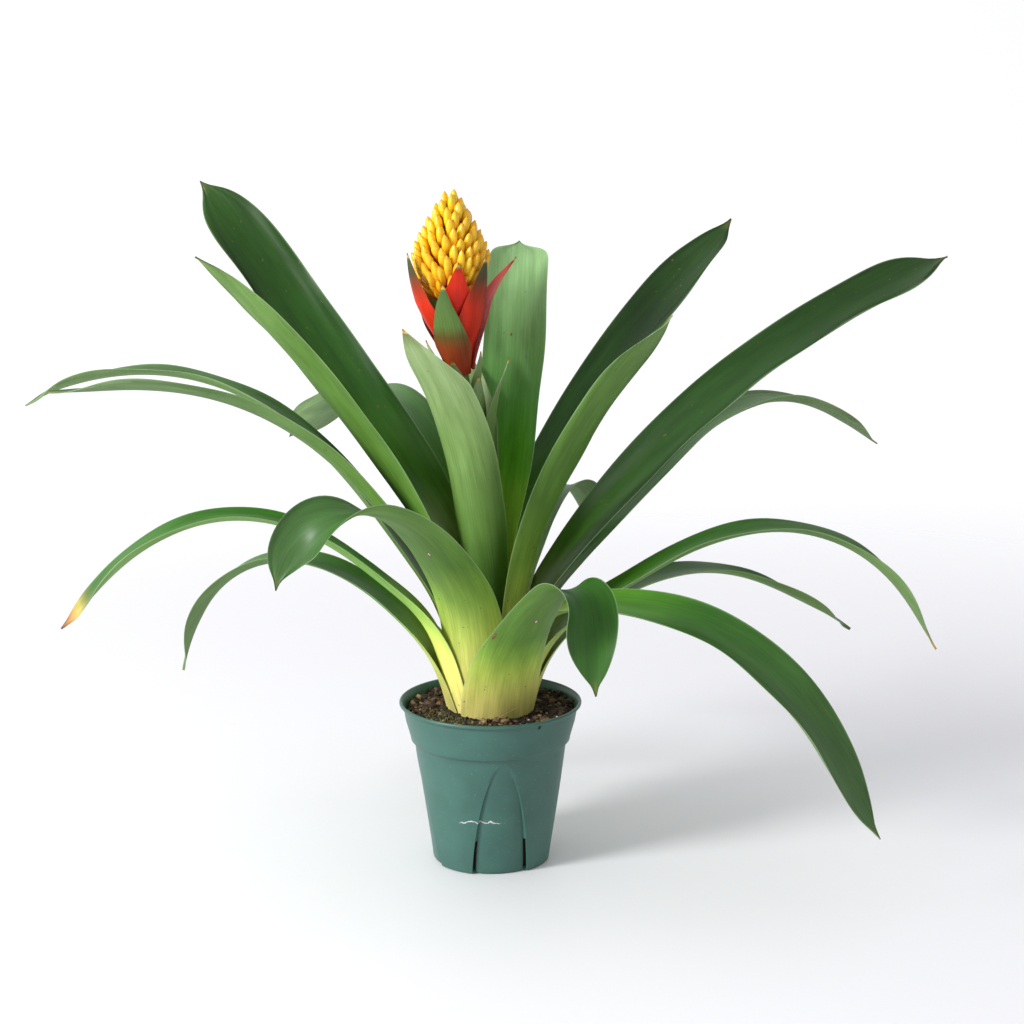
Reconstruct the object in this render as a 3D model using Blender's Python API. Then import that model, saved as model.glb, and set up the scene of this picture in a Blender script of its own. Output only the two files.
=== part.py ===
"""Potted bromeliad: a flowering rosette of strap leaves in a round plastic nursery pot.

Metres, +Z up. The origin is on the floor, under the middle of the pot. -Y is the front.
Plan angles are in degrees, counter-clockwise from +X, seen from above.
"""

from collections import namedtuple
from math import cos, pi, radians, sin

import bpy
import numpy as np

# Pot, a 6-inch nursery pot
POT_HEIGHT = 0.136
RIM_RADIUS = 0.076
BASE_RADIUS = 0.0505
SHOULDER_HEIGHT = 0.103  # where the rim band starts
SHOULDER_RADIUS = 0.0636
WALL = 0.0016
FLOOR = 0.003
POT_QUARTER_COLUMNS = 7  # wall columns between two recesses
RECESS_COUNT = 4
RECESS_FIRST_ANGLE = 280
RECESS_TOP = 0.097
RECESS_DEPTH = 0.0022
RECESS_HALF_ANGLE = 24.0  # at the base
SLOT_WIDTH = 0.0026
SLOT_LOW, SLOT_HIGH = 0.006, 0.020

# Potting mix
MIX_TOP = 0.1275
GAP = 0.0004  # between pieces that touch

# Crown: the sheaths of the leaves stand in rings around the middle
CROWN_BOTTOM = 0.120
INNER_SEAT = 0.0125
SEAT_STEP = 0.0021
LEAF_THICKNESS = 0.0011
TIP_HALF_WIDTH = 0.0004
SHEATH_HALF_ANGLE = 58
INNER_RISE, OUTER_RISE = 88, 75  # sheath elevation, degrees
LEAVES_CROWN_OVER = 0.09  # length over which a leaf bends away from the crown
OPENS_OVER = 0.12  # length over which its curve opens out to the blade's
OUTER_SEAT = INNER_SEAT + 11 * SEAT_STEP

# Flower stem and head
STEM_BOTTOM, STEM_TOP = 0.1272, 0.4685
STEM_RADIUS = 0.0065
STEM_LEAN = 0.031  # how far the head stands to the left of the pot's middle
HEAD_BOTTOM, HEAD_TOP = 0.470, 0.5575
HEAD_RADIUS = 0.0294
BRACT_THICKNESS = 0.0009
BRACT_SEAT, BRACT_STEP = 0.0080, 0.0016
LEAVES_STEM_OVER = 0.04  # length over which a bract bends away from the stem

# heading: plan angle of the sheath. ring: 0 is innermost. leave: distance along the leaf at
# which it leaves the crown. lift, droop: elevation there and at the tip. bend_at, bend_over:
# where the blade bends from one to the other, and over how much, as parts of the blade.
# sway: turn in plan. roll, twist: turns about the midrib, along the blade and near its tip.
Leaf = namedtuple(
    "Leaf",
    "heading ring length width leave lift droop bend_at bend_over sway roll twist taper cup",
    defaults=(0, 0, 0, 0.09, 35),
)

LEAVES = {
    "leaf_01_front": Leaf(286, 11, 0.283, 0.048, 0.053, 43, -84, 0.635, 0.21, sway=48, roll=-6, twist=74),
    "leaf_02_low_back": Leaf(98, 11, 0.310, 0.042, 0.050, 34, -60, 0.55, 0.90),
    "leaf_03_low_left": Leaf(165, 10, 0.360, 0.040, 0.055, 40, -78, 0.58, 0.95),
    "leaf_04_low_right": Leaf(25, 10, 0.390, 0.040, 0.060, 25, -28, 0.45, 0.70),
    "leaf_05_left": Leaf(190, 9, 0.440, 0.042, 0.085, 41, -48, 0.55, 0.80),
    "leaf_06_right": Leaf(5, 9, 0.465, 0.042, 0.070, 31, -66, 0.63, 0.85),
    "leaf_07_front_left": Leaf(
        249, 8, 0.360, 0.048, 0.108, 45, -85, 0.716, 0.80, sway=-77, roll=16, twist=-122, cup=30
    ),
    "leaf_08_low_back": Leaf(88, 8, 0.340, 0.042, 0.070, 36, -55, 0.55, 0.90),
    "leaf_09_front_right": Leaf(335, 7, 0.450, 0.052, 0.095, 8, -60, 0.46, 0.90, roll=15, taper=0.15),
    "leaf_10_low_back": Leaf(106, 7, 0.250, 0.042, 0.085, 42, -10, 0.55, 0.90),
    "leaf_11_mid_left": Leaf(170, 6, 0.535, 0.044, 0.095, 53, -24, 0.62, 0.90, roll=5),
    "leaf_12_mid_right": Leaf(30, 6, 0.515, 0.044, 0.090, 39, -30, 0.66, 0.55),
    "leaf_13_mid_left": Leaf(191, 5, 0.490, 0.044, 0.114, 51, -6, 0.60, 0.85, roll=12),
    "leaf_14_long_right": Leaf(12, 5, 0.555, 0.047, 0.095, 53, 24, 0.50, 1.00, roll=30),
    "leaf_15_high_left": Leaf(190, 4, 0.455, 0.044, 0.127, 60, 47, 0.50, 1.00, roll=25, taper=0.13),
    "leaf_16_back_right": Leaf(67, 4, 0.310, 0.050, 0.104, 40, -60, 0.62, 0.45, sway=-25),
    "leaf_17_steep_right": Leaf(330, 3, 0.385, 0.044, 0.132, 68, 48, 0.50, 1.00, roll=-12),
    "leaf_18_back_left": Leaf(125, 3, 0.500, 0.046, 0.120, 60, -24, 0.45, 0.60, twist=25),
    "leaf_19_tall_left": Leaf(155, 2, 0.525, 0.052, 0.145, 52, 49, 0.50, 1.00, roll=-45),
    "leaf_20_tall_right": Leaf(51, 1, 0.520, 0.047, 0.130, 50, 36, 0.50, 1.00, sway=-12, roll=18, taper=0.11),
    "leaf_21_tall_back": Leaf(67, 0, 0.424, 0.054, 0.150, 74, 5, 0.85, 0.60, sway=22, taper=0.042),
}

# foot: height on the stem. ring: 0 lies against the stem. lift, droop: elevation once the bract
# has left the stem, and at its tip. grip: how far the foot wraps round the stem, each way.
Bract = namedtuple(
    "Bract",
    "heading ring foot length width leave lift droop bend_at sway taper grip colour",
    defaults=(0.75, 0, 0.05, 50, "green"),
)

BRACTS = {
    "stem_bract_1_large": Bract(262, 2, 0.130, 0.333, 0.064, 0.05, 85, 60, sway=-41, taper=0.055),
    "stem_bract_2_back": Bract(75, 2, 0.215, 0.200, 0.032, 0.04, 78, 72),
    "stem_bract_3_right": Bract(358, 4, 0.290, 0.136, 0.034, 0.04, 80, 66),
    "stem_bract_4_back_left": Bract(140, 4, 0.300, 0.126, 0.034, 0.04, 80, 66),
    "stem_bract_5_front": Bract(262, 4, 0.328, 0.098, 0.034, 0.03, 79, 75),
    "stem_bract_6_front_right": Bract(306, 3, 0.332, 0.080, 0.030, 0.03, 78, 75),
    "stem_bract_7_left": Bract(205, 2, 0.350, 0.090, 0.030, 0.03, 79, 72),
    "stem_bract_8_back": Bract(80, 3, 0.345, 0.090, 0.032, 0.02, 76, 70),
    "stem_bract_9_dark_right": Bract(334, 2, 0.350, 0.080, 0.030, 0.04, 80, 76),
    "collar_bract_1_front": Bract(
        262, 2, 0.410, 0.080, 0.033, 0.00, 60, 77, 0.42, taper=0.06, colour="red"
    ),
    "collar_bract_2_back_left": Bract(134, 2, 0.412, 0.082, 0.032, 0.01, 60, 76, 0.42, colour="red"),
    "collar_bract_3_right": Bract(
        28, 2, 0.413, 0.102, 0.028, 0.00, 67, 46, 0.70, taper=0.07, colour="red"
    ),
    "collar_bract_4_front_right": Bract(
        322, 1, 0.416, 0.094, 0.037, 0.01, 60, 78, 0.42, taper=0.062, colour="red"
    ),
    "collar_bract_5_left": Bract(
        212, 1, 0.417, 0.097, 0.035, 0.01, 60, 75, 0.42, taper=0.07, colour="red"
    ),
    "collar_bract_6_back": Bract(72, 1, 0.417, 0.084, 0.032, 0.01, 60, 76, 0.42, colour="red"),
    "collar_bract_7_inner_front": Bract(282, 0, 0.429, 0.078, 0.032, 0.01, 55, 78, 0.50, colour="red"),
    "collar_bract_8_inner_left": Bract(166, 0, 0.428, 0.064, 0.028, 0.00, 60, 82, 0.50, colour="red"),
    "collar_bract_9_inner_back": Bract(44, 0, 0.428, 0.064, 0.028, 0.00, 60, 82, 0.50, colour="red"),
}

LEAF_STATIONS, LEAF_COLUMNS = 16, 7
BRACT_STATIONS, BRACT_COLUMNS = 9, 5


def ramp(x, centre, span):
    """0 below the span around the centre, 1 above it, with a smooth rise between."""
    t = np.clip((x - centre) / span + 0.5, 0, 1)
    return t * t * (3 - 2 * t)


def stem_middle(z):
    """x of the flower stem's middle at height z: the stem leans a little to the left."""
    t = np.clip((z - STEM_BOTTOM) / (STEM_TOP - STEM_BOTTOM), 0, 1)
    return -STEM_LEAN * t**1.5


def material(name, colour, roughness):
    mat = bpy.data.materials.new(name)
    mat.use_nodes = True
    shader = mat.node_tree.nodes["Principled BSDF"]
    shader.inputs["Base Color"].default_value = (*colour, 1)
    shader.inputs["Roughness"].default_value = roughness
    shader.inputs["Metallic"].default_value = 0
    mat.diffuse_color = (*colour, 1)
    return mat


def add_object(name, points, faces, mat):
    mesh = bpy.data.meshes.new(name)
    mesh.from_pydata([tuple(p) for p in points], [], faces)
    mesh.materials.append(mat)
    mesh.shade_smooth()
    mesh.set_sharp_from_angle(angle=radians(40))
    obj = bpy.data.objects.new(name, mesh)
    bpy.context.scene.collection.objects.link(obj)
    return obj


def shell(name, upper, lower, mat):
    """A closed sheet between two grids of points of the same size, upper facing up."""
    rows, columns = upper.shape[:2]
    count = rows * columns
    faces = []
    for i in range(rows - 1):
        for j in range(columns - 1):
            a = i * columns + j
            faces.append((a, a + columns, a + columns + 1, a + 1))
            faces.append((count + a, count + a + 1, count + a + columns + 1, count + a + columns))
    border = list(range(columns))
    border += [i * columns + columns - 1 for i in range(1, rows)]
    border += [(rows - 1) * columns + j for j in range(columns - 2, -1, -1)]
    border += [i * columns for i in range(rows - 2, 0, -1)]
    for a, b in zip(border, border[1:] + border[:1]):
        faces.append((a, b, count + b, count + a))
    return add_object(name, np.concatenate([upper.reshape(-1, 3), lower.reshape(-1, 3)]), faces, mat)


def strap(start, elevation, plan, turn, half_width, radius, s, columns, thickness):
    """Upper and lower grids of a channelled strap that starts at a point and follows its angles."""
    level = np.cos(elevation)
    forward = np.stack([level * np.cos(plan), level * np.sin(plan), np.sin(elevation)], -1)
    side = np.stack([-np.sin(plan), np.cos(plan), np.zeros_like(plan)], -1)
    up = np.cross(forward, side)
    steps = (forward[1:] + forward[:-1]) / 2 * np.diff(s)[:, None]
    midrib = start + np.concatenate([np.zeros((1, 3)), np.cumsum(steps, axis=0)])
    c, d = np.cos(turn)[:, None], np.sin(turn)[:, None]
    side, up = c * side + d * up, c * up - d * side
    rho = radius(midrib)
    spread = np.minimum(half_width / rho, radians(100))
    angle = np.linspace(-1, 1, columns)[None, :] * spread[:, None]
    across = np.sin(angle)[..., None] * side[:, None]
    outward = across - np.cos(angle)[..., None] * up[:, None]
    middle = (midrib + rho[:, None] * up)[:, None] + rho[:, None, None] * outward
    return middle - outward * thickness / 2, middle + outward * thickness / 2


def pointed(s, length, taper):
    """Part of the full width along a strap: 1, then a rounded taper to a narrow tip."""
    t = np.clip((s - (length - taper)) / taper, 0, 1)
    return np.maximum(1 - t**1.9, 0) ** 0.9


def strap_half_width(foot, half, widen, s, shape):
    """From the half-width of the foot to that of the blade, then down to the tip."""
    return (foot + (half - foot) * widen) * pointed(s, shape.length, shape.taper) + TIP_HALF_WIDTH


def leaf(name, shape, mat):
    seat = INNER_SEAT + shape.ring * SEAT_STEP
    s = shape.length * np.linspace(0, 1, LEAF_STATIONS) ** 1.15
    blade = (s - shape.leave) / (shape.length - shape.leave)
    rise = INNER_RISE - (INNER_RISE - OUTER_RISE) * (seat - INNER_SEAT) / (OUTER_SEAT - INNER_SEAT)
    bent = ramp(blade, shape.bend_at, shape.bend_over) - ramp(0, shape.bend_at, shape.bend_over)
    elevation = rise + (shape.lift - rise) * ramp(s, shape.leave, LEAVES_CROWN_OVER)
    elevation = elevation + (shape.droop - shape.lift) * bent
    plan = radians(shape.heading) + np.radians(shape.sway * ramp(blade, 0.5, 1.0))
    turn = shape.roll * ramp(blade, 0.15, 0.5) + shape.twist * ramp(blade, 0.75, 0.4)
    start = np.array([seat * cos(plan[0]), seat * sin(plan[0]), CROWN_BOTTOM])
    free = ramp(s, shape.leave + 0.01, OPENS_OVER)
    widen = ramp(s, shape.leave + 0.02, OPENS_OVER)
    half = shape.width / 2
    half_width = strap_half_width(seat * radians(SHEATH_HALF_ANGLE), half, widen, s, shape)
    blade_radius = half / radians(shape.cup)

    def radius(midrib):
        return np.hypot(midrib[:, 0], midrib[:, 1]) * (1 - free) + blade_radius * free

    angles = np.radians(elevation), plan, np.radians(turn)
    grids = strap(start, *angles, half_width, radius, s, LEAF_COLUMNS, LEAF_THICKNESS)
    return shell(name, *grids, mat)


def bract(name, shape, mat):
    """A bract of the flower stem, made round an upright stem and then leaned over with it."""
    upright = 88
    seat = BRACT_SEAT + shape.ring * BRACT_STEP
    s = np.linspace(0, shape.length, BRACT_STATIONS)
    elevation = upright + (shape.lift - upright) * ramp(s, shape.leave, LEAVES_STEM_OVER)
    elevation = elevation + (shape.droop - shape.lift) * ramp(s / shape.length, shape.bend_at, 0.5)
    plan = radians(shape.heading) + np.radians(shape.sway * s / shape.length)
    start = np.array([seat * cos(plan[0]), seat * sin(plan[0]), shape.foot])
    widen = ramp(s, shape.leave + 0.01, LEAVES_STEM_OVER)
    half_width = strap_half_width(seat * radians(shape.grip), shape.width / 2, widen, s, shape)

    def radius(midrib):
        return np.hypot(midrib[:, 0], midrib[:, 1])

    angles = np.radians(elevation), plan, np.zeros_like(s)
    grids = strap(start, *angles, half_width, radius, s, BRACT_COLUMNS, BRACT_THICKNESS)
    for grid in grids:
        grid[..., 0] += stem_middle(grid[..., 2])
    return shell(name, *grids, mat)


def turned(name, rings, mat, columns=40, middle=lambda z: 0.0, shift=lambda angle, k: 0.0):
    """A closed solid of revolution. rings are (radius, z), from the axis at its bottom to the top."""
    points = [(middle(rings[0][1]), 0, rings[0][1])]
    for k, (radius, z) in enumerate(rings[1:-1]):
        for i in range(columns):
            angle = 2 * pi * i / columns
            points.append((middle(z) + radius * cos(angle), radius * sin(angle), z + shift(angle, k)))
    points.append((middle(rings[-1][1]), 0, rings[-1][1]))
    faces = [(0, 1 + (i + 1) % columns, 1 + i) for i in range(columns)]
    for k in range(len(rings) - 3):
        for i in range(columns):
            a, b = 1 + k * columns + i, 1 + k * columns + (i + 1) % columns
            faces.append((a, b, b + columns, a + columns))
    last = 1 + (len(rings) - 3) * columns
    faces += [(last + i, last + (i + 1) % columns, len(points) - 1) for i in range(columns)]
    return add_object(name, points, faces, mat)


def pot_wall_radius(z):
    """Outer radius of the pot's lower wall."""
    return BASE_RADIUS + (SHOULDER_RADIUS - BASE_RADIUS) * z / SHOULDER_HEIGHT


def recess_half_angle(z):
    """Half-width of an arch recess, in radians: an arch that closes at its top."""
    t = np.clip(z / RECESS_TOP, 0, 1)
    return radians(RECESS_HALF_ANGLE) * (1 - t**1.3) ** 0.6 + radians(1.0)


def pot_columns(z):
    """Plan angles of the pot's columns at height z, and how deep the recess is at each, 0 to 1."""
    edge = recess_half_angle(z)
    slot = SLOT_WIDTH / pot_wall_radius(z) * (1 - 0.8 * np.clip(z / RECESS_TOP, 0, 1))
    half = pi / RECESS_COUNT
    angles, depths = [], []
    for k in range(RECESS_COUNT):
        middle = radians(RECESS_FIRST_ANGLE) + 2 * half * k
        rest = np.linspace(edge + slot, 2 * half - edge - slot, POT_QUARTER_COLUMNS)
        local = [-edge, -edge * 0.5, 0, edge * 0.5, edge, *rest]
        angles += [middle + a for a in local]
        depths += [1, 1, 1, 1, 1] + [0] * POT_QUARTER_COLUMNS
    return np.array(angles), np.array(depths)


def nursery_pot(mat):
    """One thin wall, walked round from the floor's inside over the rim to the underside."""
    lip = 0.0026
    wall_heights = [SLOT_LOW, SLOT_HIGH, 0.045, 0.068, RECESS_TOP]
    lower_wall = [(None, z) for z in wall_heights]
    outside = [
        (BASE_RADIUS - 0.0012, 0),
        (BASE_RADIUS, 0.0012),
        *lower_wall,
        (SHOULDER_RADIUS, SHOULDER_HEIGHT),
        (SHOULDER_RADIUS + 0.0026, SHOULDER_HEIGHT + 0.0008),
        (RIM_RADIUS - lip, POT_HEIGHT - 0.0045),
        (RIM_RADIUS, POT_HEIGHT - 0.0028),
        (RIM_RADIUS - 0.0006, POT_HEIGHT),
    ]
    inside = [
        (RIM_RADIUS - lip, POT_HEIGHT),
        (RIM_RADIUS - 0.0045, POT_HEIGHT - 0.005),
        (SHOULDER_RADIUS + 0.0006, SHOULDER_HEIGHT + 0.0025),
        (SHOULDER_RADIUS - WALL, SHOULDER_HEIGHT),
        *lower_wall[::-1],
        (BASE_RADIUS - WALL - 0.002, FLOOR),
    ]
    points, rows = [], []
    for side, profile in ((0, outside), (1, inside)):
        for radius, z in profile:
            angles, depths = pot_columns(min(z, RECESS_TOP))
            plain = pot_wall_radius(z) - side * WALL if radius is None else radius
            fade = np.clip(1 - z / RECESS_TOP, 0, 1) ** 0.8 if z < RECESS_TOP else 0
            r = plain - RECESS_DEPTH * depths * fade
            rows.append(len(points))
            points += [(p * cos(a), p * sin(a), z) for p, a in zip(r, angles)]
    columns = len(angles)
    per = 5 + POT_QUARTER_COLUMNS
    slots = {c for k in range(RECESS_COUNT) for c in (k * per + 4, (k * per - 1) % columns)}
    out_low, out_high = 2, 3  # the rows at the slots' ends
    in_low, in_high = len(rows) - 2, len(rows) - 3
    faces = []
    for k in range(len(rows) - 1):
        for c in range(columns):
            if c in slots and k in (out_low, in_high):
                continue
            d = (c + 1) % columns
            faces.append((rows[k] + c, rows[k] + d, rows[k + 1] + d, rows[k + 1] + c))
    for c in slots:
        d = (c + 1) % columns
        o = [rows[out_low] + c, rows[out_low] + d, rows[out_high] + d, rows[out_high] + c]
        i = [rows[in_low] + c, rows[in_low] + d, rows[in_high] + d, rows[in_high] + c]
        for n in range(4):
            m = (n + 1) % 4
            faces.append((o[n], o[m], i[m], i[n]))
    under, over = len(points), len(points) + 1
    points += [(0, 0, 0), (0, 0, FLOOR)]
    for c in range(columns):
        d = (c + 1) % columns
        faces.append((rows[0] + d, rows[0] + c, under))
        faces.append((rows[-1] + c, rows[-1] + d, over))
    return add_object("nursery_pot", points, faces, mat)


def potting_mix(mat):
    """Fills the pot to just under the rim, with a hollow that holds the crown."""
    low = FLOOR + GAP
    inner = WALL + RECESS_DEPTH + GAP
    rings = [
        (0, low), (BASE_RADIUS - inner - 0.002, low), (pot_wall_radius(RECESS_TOP) - inner, RECESS_TOP),
        (SHOULDER_RADIUS - WALL - 2 * GAP, SHOULDER_HEIGHT), (0.0687, MIX_TOP - 0.001),
        (0.062, MIX_TOP), (0.052, MIX_TOP), (0.0402, MIX_TOP), (0.0380, CROWN_BOTTOM - GAP),
        (0.0322, CROWN_BOTTOM - GAP - 0.0006), (0.0270, 0.108), (0.0150, 0.0970), (0, 0.0950),
    ]
    bumpy = {4: 0.0009, 5: 0.0012, 6: 0.0010}

    def lumps(angle, k):
        return bumpy.get(k, 0) * (sin(5 * angle + 2 * k) + 0.6 * sin(11 * angle + 5 * k))

    return turned("potting_mix", rings, mat, columns=36, shift=lumps)


def crown_stem(mat):
    """The short thick stem under the leaves."""
    top = CROWN_BOTTOM - GAP
    peg_top = STEM_BOTTOM - GAP
    rings = [
        (0, 0.0955), (0.0144, 0.0975), (0.0264, 0.1085), (0.0315, top - 0.0005),
        (0.0300, top), (0.0078, top), (0.0070, peg_top), (0, peg_top),
    ]
    return turned("crown_stem", rings, mat, columns=24)


def flower_stem(mat):
    heights = np.linspace(STEM_BOTTOM, STEM_TOP, 9)
    rings = [(0, heights[0])] + [(STEM_RADIUS, z) for z in heights] + [(0, heights[-1])]
    return turned("flower_stem", rings, mat, columns=14, middle=stem_middle)


def flower_head(mat):
    """The cone of florets, as one body with a bump for each floret."""
    rows, columns = 20, 32
    points, faces = [(stem_middle(HEAD_BOTTOM), 0, HEAD_BOTTOM)], []
    for i in range(1, rows):
        t = i / rows
        z = HEAD_BOTTOM + (HEAD_TOP - HEAD_BOTTOM) * t
        radius = HEAD_RADIUS * sin(pi / 2 * min(t / 0.40, 1)) ** 0.8 * (1 - max(t - 0.40, 0) / 0.60) ** 0.62
        for j in range(columns):
            angle = 2 * pi * (j + 0.5 * (i % 2)) / columns
            bump = 1 + 0.06 * cos(8 * angle + 2 * i) * cos(pi * i / 2)
            points.append((stem_middle(z) + radius * bump * cos(angle), radius * bump * sin(angle), z))
    points.append((stem_middle(HEAD_TOP), 0, HEAD_TOP))
    faces += [(0, 1 + (j + 1) % columns, 1 + j) for j in range(columns)]
    for i in range(rows - 2):
        for j in range(columns):
            a, b = 1 + i * columns + j, 1 + i * columns + (j + 1) % columns
            faces.append((a, b, b + columns, a + columns))
    last = 1 + (rows - 2) * columns
    faces += [(last + j, last + (j + 1) % columns, len(points) - 1) for j in range(columns)]
    return add_object("flower_head", points, faces, mat)


def main():
    for obj in list(bpy.data.objects):
        bpy.data.objects.remove(obj, do_unlink=True)
    green = material("leaf_green", (0.035, 0.16, 0.02), 0.35)
    bract_colours = {
        "green": material("bract_green", (0.12, 0.26, 0.06), 0.45),
        "red": material("bract_red", (0.60, 0.03, 0.02), 0.4),
    }
    nursery_pot(material("pot_green", (0.03, 0.16, 0.13), 0.45))
    potting_mix(material("potting_mix_brown", (0.035, 0.02, 0.012), 0.95))
    crown_stem(material("stem_cream", (0.55, 0.55, 0.25), 0.6))
    flower_stem(material("flower_stem_green", (0.25, 0.38, 0.10), 0.5))
    for name, shape in LEAVES.items():
        leaf(name, shape, green)
    for name, shape in BRACTS.items():
        bract(name, shape, bract_colours[shape.colour])
    flower_head(material("floret_yellow", (0.85, 0.42, 0.01), 0.35))


main()
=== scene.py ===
"""Potted bromeliad: the looks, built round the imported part. Metres, +Z up, -Y is the front."""

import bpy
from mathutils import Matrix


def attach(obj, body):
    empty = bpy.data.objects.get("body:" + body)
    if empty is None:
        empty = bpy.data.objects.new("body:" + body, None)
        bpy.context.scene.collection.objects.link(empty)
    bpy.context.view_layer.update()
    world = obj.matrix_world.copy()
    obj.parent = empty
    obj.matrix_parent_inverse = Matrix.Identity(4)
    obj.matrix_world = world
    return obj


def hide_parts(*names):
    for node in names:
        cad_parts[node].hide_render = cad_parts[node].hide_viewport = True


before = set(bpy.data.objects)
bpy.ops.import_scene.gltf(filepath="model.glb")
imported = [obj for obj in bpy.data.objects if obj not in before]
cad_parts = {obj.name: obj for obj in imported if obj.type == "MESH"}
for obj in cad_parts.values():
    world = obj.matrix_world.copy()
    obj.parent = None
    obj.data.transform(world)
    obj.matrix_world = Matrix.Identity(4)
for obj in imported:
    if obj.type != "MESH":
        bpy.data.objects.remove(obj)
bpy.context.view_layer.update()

from collections import namedtuple
from math import cos, pi, radians, sin

import bpy
import numpy as np

MM = 0.001
random = np.random.default_rng(11)

# ---------------------------------------------------------------- sizes shared with the part
POT_HEIGHT = 0.136
RIM_RADIUS = 0.076
BASE_RADIUS = 0.0505
SHOULDER_HEIGHT = 0.103
SHOULDER_RADIUS = 0.0636
WALL = 0.0016
FLOOR = 0.003
RECESS_COUNT = 4
RECESS_FIRST_ANGLE = 280
RECESS_TOP = 0.097
RECESS_DEPTH = 0.0022
RECESS_HALF_ANGLE = 24.0
SLOT_WIDTH = 0.0020
MIX_TOP = 0.1275
CROWN_BOTTOM = 0.120
INNER_SEAT = 0.0125
SEAT_STEP = 0.0021
OUTER_SEAT = INNER_SEAT + 11 * SEAT_STEP
SHEATH_HALF_ANGLE = 58
INNER_RISE, OUTER_RISE = 88, 75
LEAVES_CROWN_OVER = 0.09
OPENS_OVER = 0.12
STEM_BOTTOM, STEM_TOP = 0.1272, 0.4685
STEM_LEAN = 0.031
HEAD_BOTTOM, HEAD_TOP = 0.470, 0.5575
BRACT_SEAT, BRACT_STEP = 0.0080, 0.0016
LEAVES_STEM_OVER = 0.04

# Of the fields, tone scales a leaf's whole brightness: above 0 it is painted light, below 0 painted shade.
# The grey-green share laid over the far blade is partly the leaf's own waxy coating and partly a painted
# sheen.
Leaf = namedtuple(
    "Leaf",
    "heading ring length width leave lift droop bend_at bend_over sway roll twist taper cup dry bloom tone",
    defaults=(0, 0, 0, 0.09, 35, 0.2, 0, 0),
)

LEAVES = {
    "01_front": Leaf(286, 11, 0.283, 0.048, 0.053, 43, -84, 0.635, 0.21, sway=48, roll=-6, twist=74),
    "02_low_back": Leaf(98, 11, 0.310, 0.042, 0.050, 34, -60, 0.55, 0.90),
    "03_low_left": Leaf(165, 10, 0.360, 0.040, 0.055, 40, -78, 0.58, 0.95, bloom=0.8),
    "04_low_right": Leaf(25, 10, 0.390, 0.040, 0.060, 25, -28, 0.45, 0.70),
    "05_left": Leaf(190, 9, 0.440, 0.042, 0.085, 41, -48, 0.55, 0.80, dry=1.0, bloom=0.15, tone=0.8),
    "06_right": Leaf(5, 9, 0.465, 0.042, 0.070, 31, -66, 0.63, 0.85, dry=0.6, bloom=0.4),
    "07_front_left": Leaf(
        249, 8, 0.360, 0.048, 0.108, 45, -85, 0.716, 0.80,
        sway=-77, roll=16, twist=-122, cup=30, bloom=0.25
    ),
    "08_low_back": Leaf(88, 8, 0.340, 0.042, 0.070, 36, -55, 0.55, 0.90),
    "09_front_right": Leaf(335, 7, 0.450, 0.052, 0.095, 8, -60, 0.46, 0.90, roll=15, taper=0.15, bloom=0.3),
    "10_low_back": Leaf(106, 7, 0.250, 0.042, 0.085, 42, -10, 0.55, 0.90),
    "11_mid_left": Leaf(170, 6, 0.535, 0.044, 0.095, 53, -24, 0.62, 0.90, roll=5, bloom=0.5),
    "12_mid_right": Leaf(30, 6, 0.515, 0.044, 0.090, 39, -30, 0.66, 0.55, bloom=1.0),
    "13_mid_left": Leaf(191, 5, 0.490, 0.044, 0.114, 51, -6, 0.60, 0.85, roll=12, bloom=0.9),
    "14_long_right": Leaf(12, 5, 0.555, 0.047, 0.095, 53, 24, 0.50, 1.00, roll=30, taper=0.07, tone=-1.0),
    "15_high_left": Leaf(190, 4, 0.455, 0.044, 0.127, 60, 47, 0.50, 1.00, roll=25, taper=0.13),
    "16_back_right": Leaf(
        67, 4, 0.310, 0.050, 0.104, 40, -60, 0.62, 0.45, sway=-25, bloom=1.0
    ),
    "17_steep_right": Leaf(330, 3, 0.385, 0.044, 0.132, 68, 48, 0.50, 1.00, roll=-12, tone=-0.1),
    "18_back_left": Leaf(
        125, 3, 0.500, 0.046, 0.120, 60, -24, 0.45, 0.60, twist=25, bloom=0.9
    ),
    "19_tall_left": Leaf(155, 2, 0.525, 0.052, 0.145, 52, 49, 0.50, 1.00, roll=-45, taper=0.08, tone=-0.7),
    "20_tall_right": Leaf(
        51, 1, 0.520, 0.047, 0.130, 50, 36, 0.50, 1.00, sway=-12, roll=18, taper=0.11, tone=-1.0
    ),
    # tone=2.2 brightens this leaf as painted light, standing in for light shining through it.
    "21_tall_back": Leaf(
        67, 0, 0.424, 0.054, 0.150, 74, 5, 0.85, 0.60, sway=22, taper=0.042, dry=0.1, bloom=0.7, tone=2.2
    ),
}

Bract = namedtuple(
    "Bract",
    "heading ring foot length width leave lift droop bend_at sway taper grip skin",
    defaults=(0.75, 0, 0.05, 50, "green"),
)

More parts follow.
